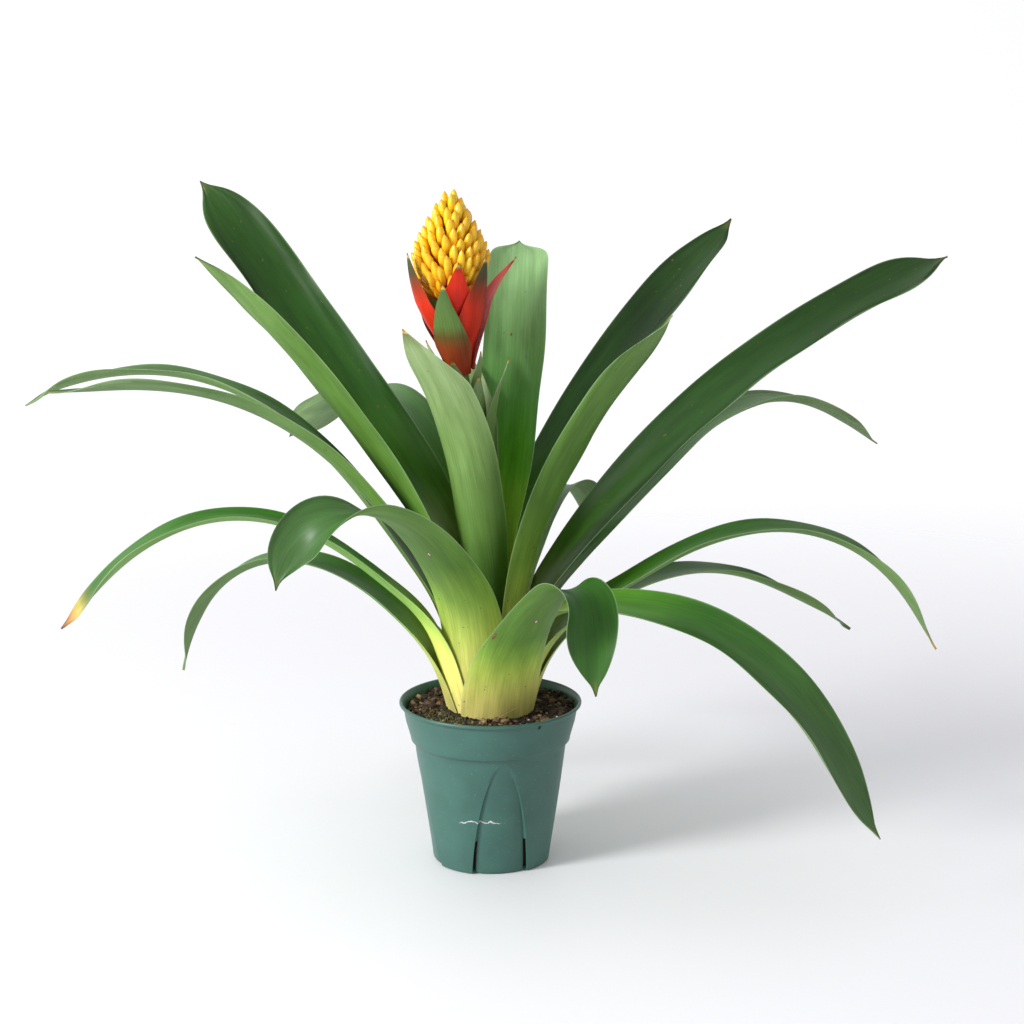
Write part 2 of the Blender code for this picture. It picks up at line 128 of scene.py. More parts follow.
BRACTS = {
    "stem_bract_1_large": Bract(262, 2, 0.130, 0.333, 0.064, 0.05, 85, 60, sway=-41, taper=0.055),
    "stem_bract_2_back": Bract(75, 2, 0.215, 0.200, 0.032, 0.04, 78, 72),
    "stem_bract_3_right": Bract(358, 4, 0.290, 0.136, 0.034, 0.04, 80, 66),
    "stem_bract_4_back_left": Bract(140, 4, 0.300, 0.126, 0.034, 0.04, 80, 66),
    "stem_bract_5_front": Bract(262, 4, 0.328, 0.098, 0.034, 0.03, 79, 75),
    "stem_bract_6_front_right": Bract(306, 3, 0.332, 0.080, 0.030, 0.03, 78, 75),
    "stem_bract_7_left": Bract(205, 2, 0.350, 0.090, 0.030, 0.03, 79, 72),
    "stem_bract_8_back": Bract(80, 3, 0.345, 0.090, 0.032, 0.02, 76, 70),
    "stem_bract_9_dark_right": Bract(334, 2, 0.350, 0.080, 0.030, 0.04, 80, 76),
    "collar_bract_1_front": Bract(262, 2, 0.410, 0.080, 0.033, 0.00, 60, 77, 0.42, taper=0.06, skin="half"),
    "collar_bract_2_back_left": Bract(134, 2, 0.412, 0.082, 0.032, 0.01, 60, 76, 0.42, skin="half"),
    "collar_bract_3_right": Bract(
        28, 2, 0.413, 0.102, 0.028, 0.00, 67, 46, 0.70, taper=0.070, skin="red"
    ),
    "collar_bract_4_front_right": Bract(
        322, 1, 0.416, 0.094, 0.037, 0.01, 60, 78, 0.42, taper=0.062, skin="tipped"
    ),
    "collar_bract_5_left": Bract(
        212, 1, 0.417, 0.097, 0.035, 0.01, 60, 75, 0.42, taper=0.070, skin="tipped"
    ),
    "collar_bract_6_back": Bract(72, 1, 0.417, 0.084, 0.032, 0.01, 60, 76, 0.42, skin="tipped"),
    "collar_bract_7_inner_front": Bract(282, 0, 0.429, 0.078, 0.032, 0.01, 55, 78, 0.50, skin="red"),
    "collar_bract_8_inner_left": Bract(166, 0, 0.428, 0.064, 0.028, 0.00, 60, 82, 0.50, skin="red"),
    "collar_bract_9_inner_back": Bract(44, 0, 0.428, 0.064, 0.028, 0.00, 60, 82, 0.50, skin="red"),
}

LEAF_STATIONS, LEAF_COLUMNS = 84, 17
BRACT_STATIONS, BRACT_COLUMNS = 36, 13


# ---------------------------------------------------------------- small tools
def ramp(x, centre, span):
    """0 below the span around the centre, 1 above it, with a smooth rise between."""
    t = np.clip((x - centre) / span + 0.5, 0, 1)
    return t * t * (3 - 2 * t)


def stem_middle(z):
    t = np.clip((z - STEM_BOTTOM) / (STEM_TOP - STEM_BOTTOM), 0, 1)
    return -STEM_LEAN * t**1.5


def linear(code):
    """An sRGB hex colour as linear RGBA."""
    parts = [int(code[i : i + 2], 16) / 255 for i in (1, 3, 5)]
    return (*[p / 12.92 if p <= 0.04045 else ((p + 0.055) / 1.055) ** 2.4 for p in parts], 1)


def add_node(tree, kind, inputs=None, stops=None, **settings):
    """Adds a shader node with its settings, its ramp's stops, and its inputs set or linked."""
    node = tree.nodes.new("ShaderNode" + kind)
    for key, value in settings.items():
        setattr(node, key, value)
    for key, value in (inputs or {}).items():
        if isinstance(value, bpy.types.NodeSocket):
            tree.links.new(value, node.inputs[key])
        else:
            node.inputs[key].default_value = value
    if stops:
        elements = node.color_ramp.elements
        while len(elements) < len(stops):
            elements.new(0.5)
        for element, (place, code) in zip(elements, stops):
            element.position = place
            element.color = linear(code)
    return node


def new_material(name, **values):
    """A material with its Principled shader, and uniform values on the shader's own sockets."""
    mat = bpy.data.materials.new(name)
    mat.use_nodes = True
    shader = mat.node_tree.nodes["Principled BSDF"]
    for key, value in values.items():
        shader.inputs[key.replace("_", " ")].default_value = value
    return mat, mat.node_tree, shader


def new_piece(name, points, faces, mat, values=None, smooth=True):
    """A mesh piece with a value per point for each named attribute. It rides on the root body."""
    mesh = bpy.data.meshes.new(name)
    mesh.from_pydata(np.asarray(points, float).tolist(), [], [list(f) for f in faces])
    mesh.materials.append(mat)
    if smooth:
        mesh.shade_smooth()
        mesh.set_sharp_from_angle(angle=radians(50))
    for key, value in (values or {}).items():
        value = np.asarray(value, np.float32)
        kind, field = ("FLOAT", "value") if value.ndim == 1 else ("FLOAT_VECTOR", "vector")
        mesh.attributes.new(key, kind, "POINT").data.foreach_set(field, value.ravel())
    obj = bpy.data.objects.new(name, mesh)
    bpy.context.scene.collection.objects.link(obj)
    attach(obj, "root")
    return obj


def sheet_faces(rows, columns):
    """Faces of a closed sheet of two grids, the upper one's points first."""
    count = rows * columns
    faces = []
    for i in range(rows - 1):
        for j in range(columns - 1):
            a = i * columns + j
            faces.append((a, a + columns, a + columns + 1, a + 1))
            faces.append((count + a, count + a + 1, count + a + columns + 1, count + a + columns))
    border = list(range(columns))
    border += [i * columns + columns - 1 for i in range(1, rows)]
    border += [(rows - 1) * columns + j for j in range(columns - 2, -1, -1)]
    border += [i * columns for i in range(rows - 2, 0, -1)]
    for a, b in zip(border, border[1:] + border[:1]):
        faces.append((a, b, count + b, count + a))
    return faces


# ---------------------------------------------------------------- finishes
def point_value(tree, key):
    """One number that a piece carries at each of its points."""
    return add_node(tree, "Attribute", attribute_name=key).outputs["Fac"]


def grain_noise(tree, where, size, detail):
    """Noise whose blotches have this size in metres along each axis."""
    scaled = add_node(
        tree, "VectorMath", {0: where, 1: tuple(1 / side for side in size)}, operation="MULTIPLY"
    ).outputs[0]
    return add_node(tree, "TexNoise", {"Vector": scaled, "Scale": 1, "Detail": detail}).outputs["Fac"]


def even_noise(tree, where, size, detail):
    """Noise whose blotches have one size in metres, the same every way."""
    return add_node(tree, "TexNoise", {"Vector": where, "Scale": 1 / size, "Detail": detail}).outputs["Fac"]


def over(tree, cover, below, above):
    """The colour below, with the one above laid over it by the cover's share."""
    return add_node(tree, "MixRGB", {"Fac": cover, "Color1": below, "Color2": above}).outputs[0]


def shaded(tree, colour, pattern, stops):
    """The colour multiplied by the shades that a pattern picks from the stops."""
    shades = add_node(tree, "ValToRGB", {"Fac": pattern}, stops=stops).outputs[0]
    return add_node(
        tree, "MixRGB", {"Fac": 1.0, "Color1": colour, "Color2": shades}, blend_type="MULTIPLY"
    ).outputs[0]


def finish(tree, shader, colour, relief, strength, depth):
    """Gives the shader its colour and a relief this deep in metres."""
    bump = add_node(tree, "Bump", {"Height": relief, "Strength": strength, "Distance": depth}).outputs[0]
    tree.links.new(colour, shader.inputs["Base Color"])
    tree.links.new(bump, shader.inputs["Normal"])


def plant_skin(name, upper, lower, edge, vein, roughness, spots):
    """Living leaf with a waxy cuticle: fine lengthwise veins, soft mottling, a thin margin in the edge
    colour, which where pale is a painted highlight, brown where the tip has dried, a grey-green over the far
    blade that is partly its waxy coating and partly a painted sheen, and a tone that scales the brightness as
    painted light and shade.
    part runs 0 to 0.5 along the sheath and 0.5 to 1 to the tip."""
    mat, tree, shader = new_material(name, IOR=1.42, Specular_IOR_Level=0.4)
    part, face, rim, dry, bloom, tone = (
        point_value(tree, key) for key in ("part", "face", "rim", "dry", "bloom", "tone")
    )
    grain = add_node(tree, "Attribute", attribute_name="grain").outputs["Vector"]
    veins = grain_noise(tree, grain, (vein, 0.060, 1), 2)
    mottle = grain_noise(tree, grain, (0.010, 0.045, 1), 3)
    specks = grain_noise(tree, grain, (0.004, 0.005, 1), 1)
    top = add_node(tree, "ValToRGB", {"Fac": part}, stops=upper).outputs["Color"]
    under = add_node(tree, "ValToRGB", {"Fac": part}, stops=lower).outputs["Color"]
    colour = over(tree, face, under, top)
    # 8aa37c laid over the far blade: partly the leaf's own grey waxy coating, partly a painted sheen.
    wax_and_sheen = add_node(tree, "Math", {0: bloom, 1: 0.65}, operation="MULTIPLY").outputs[0]
    colour = over(tree, wax_and_sheen, colour, linear("#8aa37c"))
    # The brightness scaled by the leaf's tone: painted light above 0, painted shade below 0.
    value = add_node(
        tree, "MapRange",
        {"Value": tone, "From Min": -1, "From Max": 3, "To Min": 0.5, "To Max": 2.5},
    ).outputs[0]
    colour = add_node(tree, "HueSaturation", {"Value": value, "Color": colour}).outputs[0]
    colour = shaded(tree, colour, veins, [(0.25, "#dedede"), (0.75, "#ffffff")])
    colour = shaded(tree, colour, mottle, [(0.3, "#d6dccc"), (0.7, "#ffffff")])
    speck = add_node(
        tree, "MapRange",
        {"Value": specks, "From Min": spots, "From Max": spots + 0.04, "To Min": 0, "To Max": 0.6},
    ).outputs[0]
    colour = over(tree, speck, colour, linear("#5b5a26"))
    # The outermost edge is laid towards the edge colour: where that is pale, this is a painted highlight
    # along the margin.
    pale = add_node(
        tree, "MapRange", {"Value": rim, "From Min": 0.95, "From Max": 1.0, "To Max": 0.35}
    ).outputs[0]
    colour = over(tree, pale, colour, linear(edge))
    ragged = add_node(tree, "Math", {0: dry, 1: mottle}, operation="MULTIPLY").outputs[0]
    dried = add_node(
        tree, "ValToRGB", {"Fac": dry},
        stops=[(0.0, "#8b9450"), (0.2, "#8f7c4a"), (0.45, "#d2bf60"), (0.7, "#b98a4c"), (1.0, "#6b452c")],
    ).outputs[0]
    worn = add_node(
        tree, "MapRange", {"Value": ragged, "From Min": 0.02, "From Max": 0.30}
    ).outputs[0]
    colour = over(tree, worn, colour, dried)
    gloss = add_node(
        tree, "MapRange", {"Value": face, "To Min": roughness[1], "To Max": roughness[0]}
    ).outputs[0]
    gloss = add_node(tree, "Math", {0: mottle, 1: 0.16, 2: gloss}, operation="MULTIPLY_ADD").outputs[0]
    gloss = add_node(tree, "Math", {0: bloom, 1: 0.22, 2: gloss}, operation="MULTIPLY_ADD").outputs[0]
    tree.links.new(gloss, shader.inputs["Roughness"])
    finish(tree, shader, colour, veins, 0.35, 0.12 * MM)
    return mat


# A strap leaf is dark and glossy above, and paler with a dull wax bloom below.
LEAF_UPPER = [
    (0.00, "#e8d683"), (0.20, "#d6d870"), (0.38, "#8fb83c"), (0.52, "#4f8a1e"),
    (0.64, "#336f12"), (0.85, "#2c6010"), (1.00, "#386520"),
]
LEAF_LOWER = [
    (0.00, "#ecd88a"), (0.14, "#e4dc78"), (0.27, "#c3d660"), (0.38, "#8fb648"),
    (0.52, "#628e34"), (0.80, "#6a9442"), (1.00, "#7a9d58"),
]
# Green bracts from foot to tip: dark at the foot, partly their own deep green and partly painted shade, and
# pale near the tip, partly painted light. The brown last stops are the dried tip.
BRACT_GREEN = [
    (0.00, "#2c4a12"), (0.32, "#446c20"), (0.50, "#6a9040"), (0.70, "#86a860"),
    (0.94, "#a6be88"), (0.98, "#8c9a66"), (1.00, "#5b3a34"),
]
BRACT_HALF = [
    (0.00, "#c8401c"), (0.30, "#b4522a"), (0.44, "#7c6432"), (0.56, "#6c8c46"),
    (0.92, "#57783e"), (1.00, "#3f3a2c"),
]
BRACT_TIPPED = [
    (0.00, "#e02408"), (0.56, "#f03410"), (0.70, "#b43a18"), (0.82, "#5e4c2a"),
    (0.94, "#4e5c34"), (1.00, "#3b2620"),
]
BRACT_RED = [
    (0.00, "#d61604"), (0.50, "#f62306"), (0.88, "#fb340a"), (0.95, "#b52a1c"), (1.00, "#56201c"),
]

# Edge colours: on the leaves (#a9c49a) and on the green and scarlet bracts a painted highlight along the
# margin, on the red-footed and green-tipped bracts a darker brownish edge.
leaf_wax = plant_skin("waxed_leaf", LEAF_UPPER, LEAF_LOWER, "#a9c49a", 1.3 * MM, (0.30, 0.46), 0.74)
bract_skins = {
    key: plant_skin(name, colours, colours, edge, vein * MM, roughness, spots)
    for key, name, colours, edge, vein, roughness, spots in (
        ("green", "dull_green_bract", BRACT_GREEN, "#b4c99a", 1.1, (0.45, 0.50), 0.76),
        ("half", "red_footed_bract", BRACT_HALF, "#8a5a40", 1.0, (0.40, 0.45), 0.78),
        ("tipped", "green_tipped_bract", BRACT_TIPPED, "#c04a34", 1.0, (0.36, 0.40), 0.80),
        ("red", "scarlet_bract", BRACT_RED, "#f25a40", 1.0, (0.33, 0.38), 0.82),
    )
}


# From the foot of a petal to its tip, for the lowest florets and for the highest.
PETAL_LOW = [
    (0.00, "#c42a1c"), (0.24, "#e8764a"), (0.42, "#f9b222"), (0.62, "#ffd21c"),
    (0.90, "#fdc414"), (1.00, "#e0961a"),
]
PETAL_HIGH = [
    (0.00, "#d8401c"), (0.10, "#f8a81c"), (0.30, "#ffd818"), (0.70, "#ffdc28"),
    (0.92, "#fcc618"), (1.00, "#d8961c"),
]


def petal_wax():
    """Closed flower petals: glossy and waxy, pink-red at the foot, deep yellow above."""
    mat, tree, shader = new_material(
        "waxy_petal", Roughness=0.28, Coat_Weight=0.25, Coat_Roughness=0.2, Subsurface_Weight=0.08,
        Subsurface_Radius=(0.004, 0.002, 0.0005),
    )
    part, tone = point_value(tree, "part"), point_value(tree, "tone")
    grain = add_node(tree, "Attribute", attribute_name="grain").outputs["Vector"]
    low, high = (
        add_node(tree, "ValToRGB", {"Fac": part}, stops=stops).outputs[0]
        for stops in (PETAL_LOW, PETAL_HIGH)
    )
    streak = grain_noise(tree, grain, (0.8 * MM, 0.012, 1), 2)
    colour = shaded(tree, over(tree, tone, low, high), streak, [(0.3, "#e8d2b0"), (0.7, "#ffffff")])
    finish(tree, shader, colour, streak, 0.3, 0.1 * MM)
    return mat


def stem_flesh(name, low, high, roughness):
    """A plain stem: matt, a little fibrous, with fine lengthwise streaks."""
    mat, tree, shader = new_material(name, Roughness=roughness)
    at = add_node(tree, "TexCoord").outputs["Object"]
    streak = grain_noise(tree, at, (1.2 * MM, 1.2 * MM, 0.030), 2)
    colour = add_node(tree, "ValToRGB", {"Fac": streak}, stops=[(0.3, low), (0.7, high)]).outputs[0]
    finish(tree, shader, colour, streak, 0.4, 0.15 * MM)
    return mat


def crumbs(name, stops, roughness, grit):
    """Bark, peat and grit: matt, each crumb its own shade, with a rough broken surface."""
    mat, tree, shader = new_material(name, Roughness=roughness)
    rough = even_noise(tree, add_node(tree, "TexCoord").outputs["Object"], grit, 4)
    colour = add_node(tree, "ValToRGB", {"Fac": point_value(tree, "tone")}, stops=stops).outputs[0]
    colour = shaded(tree, colour, rough, [(0.3, "#8c8c8c"), (0.7, "#ffffff")])
    finish(tree, shader, colour, rough, 0.8, 0.4 * MM)
    return mat


def pot_plastic():
    """Injection-moulded polypropylene: soft gloss, faint cloudy flow in the colour, dust, a scuff."""
    mat, tree, shader = new_material("moulded_polypropylene", IOR=1.49)
    at = add_node(tree, "TexCoord").outputs["Object"]
    cloud = even_noise(tree, at, 0.030, 3)
    colour = add_node(
        tree, "ValToRGB", {"Fac": cloud}, stops=[(0.3, "#345c52"), (0.7, "#3b665b")]
    ).outputs[0]
    motes = even_noise(tree, at, 1.6 * MM, 2)
    dust = add_node(
        tree, "MapRange", {"Value": motes, "From Min": 0.68, "From Max": 0.76, "To Max": 0.28}
    ).outputs[0]
    colour = over(tree, dust, colour, linear("#9fb3aa"))
    # The scuff is a ragged pale line across the front, about 1 mm high and 36 mm long.
    axes = add_node(tree, "SeparateXYZ", {"Vector": at})
    wander = even_noise(tree, at, 0.009, 3)
    height = add_node(
        tree, "Math", {0: wander, 1: 0.014, 2: axes.outputs["Z"]}, operation="MULTIPLY_ADD"
    ).outputs[0]
    off = add_node(tree, "Math", {0: height, 1: 0.0545}, operation="SUBTRACT").outputs[0]
    off = add_node(tree, "Math", {0: off}, operation="ABSOLUTE").outputs[0]
    line = add_node(
        tree, "MapRange", {"Value": off, "From Min": 0.0007, "From Max": 0.0002, "To Max": 0.75}
    ).outputs[0]
    side = add_node(tree, "Math", {0: axes.outputs["X"], 1: 0.008}, operation="ADD").outputs[0]
    side = add_node(tree, "Math", {0: side}, operation="ABSOLUTE").outputs[0]
    span = add_node(
        tree, "MapRange", {"Value": side, "From Min": 0.018, "From Max": 0.014}
    ).outputs[0]
    front = add_node(
        tree, "MapRange", {"Value": axes.outputs["Y"], "From Min": -0.040, "From Max": -0.045}
    ).outputs[0]
    mask = add_node(tree, "Math", {0: line, 1: span}, operation="MULTIPLY").outputs[0]
    mask = add_node(tree, "Math", {0: mask, 1: front}, operation="MULTIPLY").outputs[0]
    colour = over(tree, mask, colour, linear("#e6e2e0"))
    gloss = add_node(
        tree, "MapRange", {"Value": cloud, "To Min": 0.34, "To Max": 0.50}
    ).outputs[0]
    tree.links.new(gloss, shader.inputs["Roughness"])
    orange_peel = even_noise(tree, at, 2.2 * MM, 2)
    finish(tree, shader, colour, orange_peel, 0.25, 0.08 * MM)
    return mat


# ---------------------------------------------------------------- leaves and bracts
def strap(start, elevation, plan, turn, half_width, radius, s, columns, thickness, wave=0.0):
    """Upper and lower grids of a channelled strap that starts at a point and follows its angles."""
    level = np.cos(elevation)
    forward = np.stack([level * np.cos(plan), level * np.sin(plan), np.sin(elevation)], -1)
    side = np.stack([-np.sin(plan), np.cos(plan), np.zeros_like(plan)], -1)
    up = np.cross(forward, side)
    steps = (forward[1:] + forward[:-1]) / 2 * np.diff(s)[:, None]
    midrib = start + np.concatenate([np.zeros((1, 3)), np.cumsum(steps, axis=0)])
    c, d = np.cos(turn)[:, None], np.sin(turn)[:, None]
    side, up = c * side + d * up, c * up - d * side
    rho = radius(midrib)
    spread = np.minimum(half_width / rho, radians(100))
    angle = np.linspace(-1, 1, columns)[None, :] * spread[:, None]
    across = np.sin(angle)[..., None] * side[:, None]
    outward = across - np.cos(angle)[..., None] * up[:, None]
    middle = (midrib + rho[:, None] * up)[:, None] + (rho[:, None] + wave)[..., None] * outward
    half = np.asarray(thickness)[..., None] / 2
    return middle - outward * half, middle + outward * half


def outline(s, length, taper):
    """Part of the full width along a strap: full, then a blunt shoulder and a narrow drawn-out point."""
    t = np.clip((s - (length - taper)) / (taper - 7 * MM), 0, 1)
    shoulder = np.maximum(1 - t**2.5, 0) ** 0.75
    point = 0.13 * np.clip((length - s) / (15 * MM), 0, 1) ** 0.7
    return np.maximum(shoulder, point)


def smoothed(values, times=2):
    """Takes the corner off where two outlines meet, keeping the ends."""
    for _ in range(times):
        between = (values[:-2] + 2 * values[1:-1] + values[2:]) / 4
        values = np.concatenate([values[:1], between, values[-1:]])
    return values


def stations(length, count):
    """Distances along a strap, closer together towards its tip."""
    t = np.linspace(0, 1, count)
    return length * (t + 0.10 * np.sin(pi * t) * t)


def strap_values(s, columns, half_width, part, dry, bloom, tone, number):
    """Per-point values of one grid for plant_skin."""
    place = np.linspace(-1, 1, columns)
    rows = len(s)
    u = place[None, :] * half_width[:, None]
    v = np.repeat(s[:, None], columns, 1)
    return {
        "part": np.repeat(part[:, None], columns, 1).ravel(),
        "rim": np.abs(np.repeat(place[None, :], rows, 0)).ravel(),
        "dry": np.repeat(dry[:, None], columns, 1).ravel(),
        "bloom": np.repeat(bloom[:, None], columns, 1).ravel(),
        "tone": np.full(u.size, tone),
        "grain": np.stack([u, v, np.full_like(u, 7.3 * number)], -1).reshape(-1, 3),
    }


def strap_piece(name, grids, values, mat):
    """A closed strap, whose values are the same on both its faces except for which face it is."""
    upper, lower = grids
    count = upper.shape[0] * upper.shape[1]
    both = {key: np.concatenate([value, value]) for key, value in values.items()}
    both["face"] = np.concatenate([np.ones(count), np.zeros(count)])
    points = np.concatenate([upper.reshape(-1, 3), lower.reshape(-1, 3)])
    return new_piece(name, points, sheet_faces(*upper.shape[:2]), mat, both)


def leaf(key, shape, number):
    seat = INNER_SEAT + shape.ring * SEAT_STEP
    s = stations(shape.length, LEAF_STATIONS)
    blade = (s - shape.leave) / (shape.length - shape.leave)
    rise = INNER_RISE - (INNER_RISE - OUTER_RISE) * (seat - INNER_SEAT) / (OUTER_SEAT - INNER_SEAT)
    bent = ramp(blade, shape.bend_at, shape.bend_over) - ramp(0, shape.bend_at, shape.bend_over)
    elevation = rise + (shape.lift - rise) * ramp(s, shape.leave, LEAVES_CROWN_OVER)
    elevation = elevation + (shape.droop - shape.lift) * bent
    plan = radians(shape.heading) + np.radians(shape.sway * ramp(blade, 0.5, 1.0))
    turn = shape.roll * ramp(blade, 0.15, 0.5) + shape.twist * ramp(blade, 0.75, 0.4)
    tip = ramp(s, shape.length - 0.02, 0.06)
    turn = turn + 22 * np.sin(2.3 * number + 1) * tip
    elevation = elevation + 9 * np.sin(1.7 * number) * tip
    start = np.array([seat * cos(plan[0]), seat * sin(plan[0]), CROWN_BOTTOM])
    free = ramp(s, shape.leave + 0.01, OPENS_OVER)
    widen = ramp(s, shape.leave + 0.02, OPENS_OVER)
    half = shape.width / 2
    sheath = seat * radians(SHEATH_HALF_ANGLE)
    width = smoothed(outline(s, shape.length, shape.taper))
    half_width = (sheath + (half - sheath) * widen) * width + 0.0003
    blade_radius = half / radians(shape.cup)

    def radius(midrib):
        return np.hypot(midrib[:, 0], midrib[:, 1]) * (1 - free) + blade_radius * free

    place = np.linspace(-1, 1, LEAF_COLUMNS)[None, :]
    thickness = (1.5 - 0.7 * free[:, None]) * MM * (1 - 0.55 * place**4)
    ripple = np.sin(s[:, None] / 0.015 + number + 1.4 * place)
    ripple = ripple + np.sin(s[:, None] / 0.027 - 2 * number * place)
    wave = 0.85 * MM * ripple * place**2 * ramp(blade, 0.35, 0.5)[:, None]
    angles = np.radians(elevation), plan, np.radians(turn)
    grids = strap(start, *angles, half_width, radius, s, LEAF_COLUMNS, thickness, wave)
    sheath_end = shape.leave + 0.05
    part = np.where(
        s < sheath_end, 0.5 * s / sheath_end, 0.5 + 0.5 * (s - sheath_end) / (shape.length - sheath_end)
    )
    dry = shape.dry * np.clip(1 - (shape.length - s) / (0.012 + 0.03 * shape.dry), 0, 1)
    # The grey-green share over the far blade: partly the leaf's waxy coating, partly a painted sheen.
    bloom = shape.bloom * ramp(blade, 0.55, 0.7)
    values = strap_values(s, LEAF_COLUMNS, half_width, part, dry, bloom, shape.tone, number)
    piece = strap_piece("strap_leaf_" + key, grids, values, leaf_wax)
    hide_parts("leaf_" + key)
    return grids


def bract(key, shape, number):
    """A bract of the flower stem, made round an upright stem and then leaned over with it."""
    upright = 88
    seat = BRACT_SEAT + shape.ring * BRACT_STEP
    s = stations(shape.length, BRACT_STATIONS if shape.length < 0.25 else LEAF_STATIONS)
    elevation = upright + (shape.lift - upright) * ramp(s, shape.leave, LEAVES_STEM_OVER)
    elevation = elevation + (shape.droop - shape.lift) * ramp(s / shape.length, shape.bend_at, 0.5)
    plan = radians(shape.heading) + np.radians(shape.sway * s / shape.length)
    start = np.array([seat * cos(plan[0]), seat * sin(plan[0]), shape.foot])
    foot = seat * radians(shape.grip)
    widen = ramp(s, shape.leave + 0.01, LEAVES_STEM_OVER)
    t = np.clip((s - (shape.length - shape.taper)) / shape.taper, 0, 1)
    width = np.maximum(1 - t**1.4, 0)
    half_width = (foot + (shape.width / 2 - foot) * widen) * width + 0.0003

    def radius(midrib):
        return np.hypot(midrib[:, 0], midrib[:, 1])

    place = np.linspace(-1, 1, BRACT_COLUMNS)[None, :]
    thickness = 0.8 * MM * (1 - 0.5 * place**4) * np.ones((len(s), 1))
    wave = 0.3 * MM * np.sin(s[:, None] / 0.011 + number) * place**2
    angles = np.radians(elevation), plan, np.zeros_like(s)
    grids = strap(start, *angles, half_width, radius, s, BRACT_COLUMNS, thickness, wave)
    for grid in grids:
        grid[..., 0] += stem_middle(grid[..., 2])
    dry = np.clip(1 - (shape.length - s) / 0.006, 0, 1)
    values = strap_values(s, BRACT_COLUMNS, half_width, s / shape.length, dry, 0 * s, 0, 30 + number)
    piece = strap_piece("skin_of_" + key, grids, values, bract_skins[shape.skin])
    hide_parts(key)
    return piece


# ---------------------------------------------------------------- flower head
ENVELOPE = np.array([
    (0.4740, 0.0225), (0.4860, 0.0262), (0.4960, 0.0300), (0.5060, 0.0320),
    (0.5180, 0.0285), (0.5290, 0.0225), (0.5400, 0.0160), (0.5510, 0.0090), (0.5592, 0.0020),
])  # height and radius of the floret tips
FLORETS = 150
FLORET_COLUMNS = 12
FLORET_PROFILE = np.array([
    (0.00, 0.50), (0.08, 0.66), (0.20, 0.82), (0.36, 0.96), (0.50, 1.00), (0.64, 0.96),
    (0.76, 0.82), (0.86, 0.60), (0.94, 0.32), (1.00, 0.06),
])  # place along a floret and part of its full radius


def floret(tip, direction, length, thick, spin):
    """Points of one closed floret: three petals rolled into a plump, pointed bud."""
    axis = direction / np.linalg.norm(direction)
    side = np.cross(axis, [0.3, 0.2, 1.0])
    side /= np.linalg.norm(side)
    other = np.cross(axis, side)
    points = [tip - axis * length]
    part = [0.0]
    for place, share in FLORET_PROFILE:
        centre = tip - axis * length * (1 - place)
        for j in range(FLORET_COLUMNS):
            angle = 2 * pi * j / FLORET_COLUMNS
            fold = 1 + 0.10 * cos(3 * angle + spin + 1.5 * place)
            points.append(centre + thick * share * fold * (cos(angle) * side + sin(angle) * other))
            part.append(place)
    points.append(tip)
    part.append(1.0)
    return points, part


def floret_faces(first):
    n, rings = FLORET_COLUMNS, len(FLORET_PROFILE)
    faces = [(first, first + 1 + (j + 1) % n, first + 1 + j) for j in range(n)]
    for i in range(rings - 1):
        for j in range(n):
            a, b = first + 1 + i * n + j, first + 1 + i * n + (j + 1) % n
            faces.append((a, b, b + n, a + n))
    last = first + 1 + (rings - 1) * n
    faces += [(last + j, last + (j + 1) % n, last + n) for j in range(n)]
    return faces


